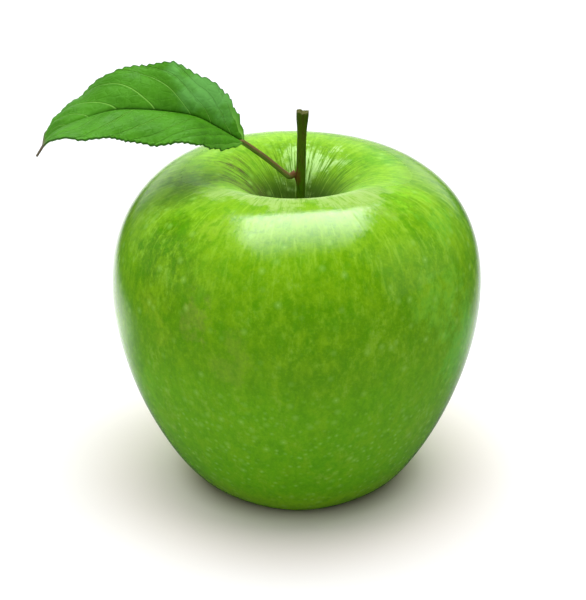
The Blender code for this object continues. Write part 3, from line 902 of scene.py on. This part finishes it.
blade_bm = bmesh.new()
bmesh.ops.create_grid(blade_bm, x_segments=BLADE_ALONG, y_segments=BLADE_ACROSS, size=1.0)
vein_layer = new_layer(blade_bm, "veins")
shape_blade(blade_bm, new_layer(blade_bm, "leaf_way"), vein_layer)
thicken_blade(blade_bm, vein_layer, BLADE_THICKNESS)
add_piece("leaf_blade", blade_bm, blade_finish(), "leaf")

stalk_bm = bmesh.new()
draw_out(stalk_bm, new_layer(stalk_bm, "grain_way"), stalk_rings())
add_piece("leaf_stalk", stalk_bm, stalk_finish(), "leaf")


# ----------------------------------------------------------
# The five sepals: dry leaves of the old flower, which grew in a ring on the basin's roof. They are
# thin and felted, brown and grey, hang down into the basin and curl outwards at their points.

SEPAL_COUNT = 5
SEPAL_TOP = at(0, 0, 6.9)
SEPAL_ROUTE = [at(*point) for point in (
    (4.0, 0.0, 0.3), (3.4, 0.0, -1.5), (2.9, 0.0, -3.0), (3.4, 0.0, -4.2), (4.9, 0.0, -4.9))]
SEPAL_HALF_WIDTHS = [width * MM for width in (1.9, 1.75, 1.35, 0.85, 0.12)]
SEPAL_THICKNESS = 0.24 * MM
SEPAL_CUP = 0.55 * MM
SEPAL_TWIST = 0.35
SEPAL_GREEN = (0.17, 0.20, 0.065)
SEPAL_BROWN = (0.15, 0.09, 0.042)
SEPAL_FIBRE = (0.30, 0.23, 0.13)
SEPAL_POINT = (0.045, 0.028, 0.016)
SEPAL_FELT = (0.46, 0.42, 0.32)


def shape_sepal(bm, leaf_way, number):
    """Lay a flat grid along the sepal's route: cupped, a little twisted, with a wavy dry edge."""
    for vert in bm.verts:
        place, across = (vert.co.x + 1.0) / 2, vert.co.y
        centre, sideways, up = frame_at(SEPAL_ROUTE, place)
        curl = SEPAL_TWIST * waver(place * 1.5, number * 3.7, 1.0) * 2.0 * place
        reach = value_along(SEPAL_HALF_WIDTHS, place) * across
        reach *= 1.0 + 0.22 * waver(place * 9.0, math.copysign(4.0, across), number * 2.3)
        wave = waver(place * 5.0, across * 1.5, number * 5.1) * 0.35 * MM * place
        lift = -SEPAL_CUP * across ** 2 * (1.0 - 0.6 * place) + wave
        side_out = sideways * math.cos(curl) + up * math.sin(curl)
        lift_out = up * math.cos(curl) - sideways * math.sin(curl)
        vert.co = SEPAL_TOP + centre + side_out * reach + lift_out * lift
        vert[leaf_way] = (place * 10 * MM, reach, number)


def sepal_finish():
    sepal = Finish("dry_sepal")
    along = sepal.parts(sepal.attribute("leaf_way"))["X"]
    fibres = sepal.clouds(sepal.attribute("leaf_way", (0.35, 2.2, 1.0)), 0.9 * MM, 3.0, 0.6)
    felt = sepal.clouds(sepal.on_piece(), 0.35 * MM, 3.0, 0.65)
    sepal.colour = SEPAL_GREEN
    sepal.stain(along, 0.5 * MM, 5 * MM, 1.0, SEPAL_BROWN)
    sepal.stain(fibres, 0.42, 0.66, 0.8, SEPAL_FIBRE)
    sepal.stain(along, 7 * MM, 10 * MM, 0.8, SEPAL_POINT)
    sepal.stain(felt, 0.54, 0.72, 0.75, SEPAL_FELT)
    relief = sepal.bump(felt, 0.05 * MM, sepal.bump(fibres, 0.10 * MM))
    return sepal.finished(sepal.fade(felt, 0.3, 0.7, 0.75, 0.95), relief)


sepal_material = sepal_finish()
for number in range(1, SEPAL_COUNT + 1):
    sepal_bm = bmesh.new()
    bmesh.ops.create_grid(sepal_bm, x_segments=40, y_segments=16, size=1.0)
    side_layer = new_layer(sepal_bm, "side")
    shape_sepal(sepal_bm, new_layer(sepal_bm, "leaf_way"), number)
    thicken_blade(sepal_bm, side_layer, SEPAL_THICKNESS)
    turn = Matrix.Rotation(math.tau * (number - 1) / SEPAL_COUNT, 3, "Z")
    bmesh.ops.rotate(sepal_bm, cent=(0, 0, 0), matrix=turn, verts=sepal_bm.verts)
    node = f"sepal_{number}"
    add_piece("dry_" + node, sepal_bm, sepal_material, node)


# ----------------------------------------------------------
# The stamen tuft: what is left of the flower inside the ring of sepals, a bunch of dry brown
# threads, most with a shrivelled head. They grew from the middle of the basin's roof and bend
# every way.

TUFT_TOP = at(0, 0, 7.9)
TUFT_SPREAD = 1.55 * MM
STAMEN_COUNT = 21
STAMEN_LENGTH = 4.1 * MM
STAMEN_RADII = [radius * MM for radius in (0.17, 0.13, 0.11, 0.10, 0.09, 0.10, 0.24, 0.27, 0.10)]
STAMEN_SIDES = 8
STAMEN_RINGS = 22
THREAD_TAN = (0.10, 0.055, 0.024)
THREAD_STRAW = (0.23, 0.16, 0.075)
THREAD_PALE = (0.36, 0.29, 0.17)
HEAD_BROWN = (0.05, 0.03, 0.014)
GOLDEN_TURN = math.pi * (3.0 - math.sqrt(5.0))


def stamen_rings(number):
    """One thread, in its place in the bunch, along four points that bend more further down."""
    turn = GOLDEN_TURN * number
    spread = math.sqrt((number + 0.5) / STAMEN_COUNT)
    out = Vector((math.cos(turn), math.sin(turn), 0.0)) * spread
    bend = Vector((waver(number * 1.7, 0.0, 0.0),
                   waver(0.0, number * 1.7, 0.0), 0.0))
    length = STAMEN_LENGTH * (0.82 + 0.25 * waver(number * 2.9, 5.0, 1.0))
    root = TUFT_TOP + out * TUFT_SPREAD * 0.75
    down = Vector((0, 0, -1)) * length
    route = [root, root + down * 0.35 + bend * 0.3 * MM,
             root + down * 0.70 + (out * 0.25 + bend * 0.9) * MM,
             root + down * 0.98 + (out * 0.1 + bend * 1.5) * MM]
    rings = []
    for station in range(STAMEN_RINGS):
        place = station / (STAMEN_RINGS - 1)
        centre, across, up = frame_at(route, place)
        radius = value_along(STAMEN_RADII, place)
        rings.append([(centre + out * radius, turn, place * length)
                      for turn, out in ways_out(across, up, STAMEN_SIDES)])
    return rings


def stamen_finish():
    stamen = Finish("dry_stamen")
    centred = stamen.on_piece()
    length = stamen.parts(stamen.attribute("grain_way"))["Z"]
    patch = stamen.clouds(centred, 0.8 * MM, 2.0, 0.6)
    fine = stamen.clouds(centred, 0.22 * MM, 3.0, 0.6)
    stamen.colour = THREAD_TAN
    stamen.stain(patch, 0.35, 0.65, 1.0, THREAD_STRAW)
    stamen.stain(fine, 0.50, 0.72, 0.6, THREAD_PALE)
    stamen.stain(length, 2.5 * MM, 3.2 * MM, 0.8, HEAD_BROWN)
    return stamen.finished(stamen.fade(fine, 0.3, 0.7, 0.70, 0.90), stamen.bump(fine, 0.05 * MM))


tuft_bm = bmesh.new()
tuft_layer = new_layer(tuft_bm, "grain_way")
for number in range(STAMEN_COUNT):
    draw_out(tuft_bm, tuft_layer, stamen_rings(number))
add_piece("stamens", tuft_bm, stamen_finish(), "stamen_tuft")


# ----------------------------------------------------------
# The floor, the studio light and the camera. A pale table runs out into a white surround. One big
# soft lamp hangs above for the matt light, and the surround draws what shines in the gloss: a soft
# bright window above, pale panels at the sides and behind, and the dark side of the camera.

FLOOR_RADIUS = 1.6
FLOOR_SIDES = 96
SURROUND_NEAR = 0.7
LAMP_PLACE = Vector((0.15, 0.0, 3.0))
LAMP_SIZE = 1.95
LAMP_RADIANCE = 5.0
WINDOW_RADIANCE = 7.9
# A painted contact shadow on the table, right round the foot.
PAINTED_CONTACT_SHADOW = (0.24, 0.20, 0.13)
SHADOW_ROSE = (1.0, 0.91, 0.90)
TABLE_WHITE = (0.95, 0.97, 0.99)
TABLE_BOUNCE = (0.50, 0.50, 0.47)
WHITE = (1.0, 1.0, 1.0)
DEGREE = math.pi / 180
CAMERA_ELEVATION = 25.51 * DEGREE
CAMERA_DISTANCE = 0.55
CAMERA_TARGET = Vector((fruit_axis.x - 0.75 * MM, fruit_axis.y, 38.13 * MM))
CAMERA_LENS = 159.19


def floor_finish():
    """White table, which fades out into the surround and looks darker to the apple than to the
    camera. It is a little rosy round the foot, to stay neutral in the green light of the skin."""
    table = Finish("table")
    from_foot = table.on_piece()
    radius = table.distance(from_foot)
    path = table.add("LightPath", {}).outputs
    foot_x, foot_y, _ = table.parts(from_foot)
    aside = table.sums("ABSOLUTE", table.plus(foot_x, 0.01))
    behind = table.both(table.fade(foot_y, 0.0, 0.06), table.fade(aside, 0.13, 0.07))
    behind = table.both(behind, table.fade(foot_x, 0.05, -0.05, 0.65, 0.95))
    gloss = table.grey(table.plus(table.fade(radius, 0.04, 0.20, 0.13, 0.05), behind))
    seen = table.mix(table.fade(radius, 0.03, 0.07), SHADOW_ROSE, TABLE_WHITE)
    # A painted contact shadow: darker and browner right round the foot.
    seen = table.mix(table.fade(radius, 0.017, 0.028), PAINTED_CONTACT_SHADOW, seen)
    table.colour = table.mix(path["Is Camera Ray"], TABLE_BOUNCE, seen)
    table.paint(path["Is Glossy Ray"], gloss)
    table.feed(table.shader.inputs["Base Color"], table.colour)
    table.shader.inputs["Roughness"].default_value = 1.0
    table.shader.inputs["Specular IOR Level"].default_value = 0.0
    clear = table.add("BsdfTransparent", {}).outputs[0]
    share = table.fade(radius, SURROUND_NEAR, FLOOR_RADIUS)
    fading = table.add("MixShader", {0: share, 1: table.shader.outputs[0], 2: clear})
    table.feed(table.tree.nodes["Material Output"].inputs["Surface"], fading.outputs[0])
    return table.material


class Surround(Finish):
    """The world's light, drawn with the same nodes as a material."""

    def __init__(self, name):
        world = bpy.data.worlds.new(name)
        world.use_nodes = True
        world.cycles.sampling_method = "NONE"
        bpy.context.scene.world = world
        self.tree = world.node_tree
        self.shader = self.tree.nodes["Background"]


def light_surround():
    """For matt surfaces, a pale backdrop low behind, with a little fill from the left. In gloss,
    the window and the panels. The camera sees plain white."""
    sky = Surround("surround")
    way = sky.add("TexCoord", {}).outputs["Generated"]
    x, y, z = sky.parts(way)

    # The pale panels at the right, at the left, overhead and behind.
    turn = sky.sums("ARCTAN2", x, sky.both(y, -1.0))
    right = sky.both(sky.fade(turn, 59 * DEGREE, 64 * DEGREE),
                     sky.fade(turn, 125 * DEGREE, 85 * DEGREE, 0.06, 0.34))
    left = sky.fade(turn, -42 * DEGREE, -75 * DEGREE, 0.0, 0.13)
    sides = sky.both(sky.larger(right, left), sky.fade(z, 0.85, 0.45, 0.3, 1.0))
    overhead = sky.fade(z, 0.84, 0.99, 0.0, 0.18)
    behind = sky.both(sky.fade(y, 0.80, 0.95), sky.fade(z, 0.42, 0.06, 0.06, 0.6))
    glow = sky.plus(sky.plus(sides, 0.03), sky.plus(overhead, behind))

    # The window: crisp at its lower edge, leaning to one side, and wider and softer as it rises.
    across = sky.sums("DIVIDE", x, sky.larger(z, 0.05))
    rise = sky.plus(sky.sums("ARCTAN2", z, y), sky.both(across, 0.34))
    window = sky.both(sky.fade(rise, 41 * DEGREE, 46 * DEGREE),
                      sky.fade(rise, 122 * DEGREE, 54 * DEGREE))
    widened = sky.fade(rise, 45 * DEGREE, 85 * DEGREE, 1.0, 1.5)
    across = sky.sums("DIVIDE", across, widened)
    width = sky.both(sky.fade(across, 0.34, 0.31), sky.fade(across, -0.37, -0.29))
    window = sky.both(window, width)
    glow = sky.plus(glow, sky.both(window, WINDOW_RADIANCE))

    backdrop = sky.both(sky.fade(y, 0.30, 0.95, 0.0, 2.9), sky.fade(z, 0.75, 0.25))
    matt = sky.plus(backdrop, sky.fade(x, 0.6, -0.9, 0.45, 0.75))
    path = sky.add("LightPath", {}).outputs
    sky.colour = sky.grey(matt)
    sky.paint(path["Is Glossy Ray"], sky.grey(glow))
    sky.paint(path["Is Camera Ray"], WHITE)
    sky.feed(sky.shader.inputs["Color"], sky.colour)


floor_bm = bmesh.new()
bmesh.ops.create_circle(floor_bm, cap_ends=True, segments=FLOOR_SIDES, radius=FLOOR_RADIUS)
floor = show("floor", mesh_from(floor_bm, "floor", (0, 0, cad_low.z - 0.01 * MM)))
floor.data.materials.append(floor_finish())

lamp_data = bpy.data.lights.new("softbox", "AREA")
lamp_data.shape = "RECTANGLE"
lamp_data.size = lamp_data.size_y = LAMP_SIZE
lamp_data.energy = LAMP_RADIANCE * math.pi * LAMP_SIZE * LAMP_SIZE
lamp = show("softbox", lamp_data)
lamp.location = fruit_axis + LAMP_PLACE
lamp.visible_glossy = False
lamp.visible_camera = False
light_surround()

camera_data = bpy.data.cameras.new("camera")
camera_data.lens = CAMERA_LENS
camera_data.sensor_width = 36
camera = show("camera", camera_data)
camera_back = Vector((0.0, -math.cos(CAMERA_ELEVATION), math.sin(CAMERA_ELEVATION)))
camera.location = CAMERA_TARGET + camera_back * CAMERA_DISTANCE
camera.rotation_euler = (math.pi / 2 - CAMERA_ELEVATION, 0.0, 0.0)
bpy.context.scene.camera = camera
bpy.context.scene.view_settings.view_transform = "Standard"
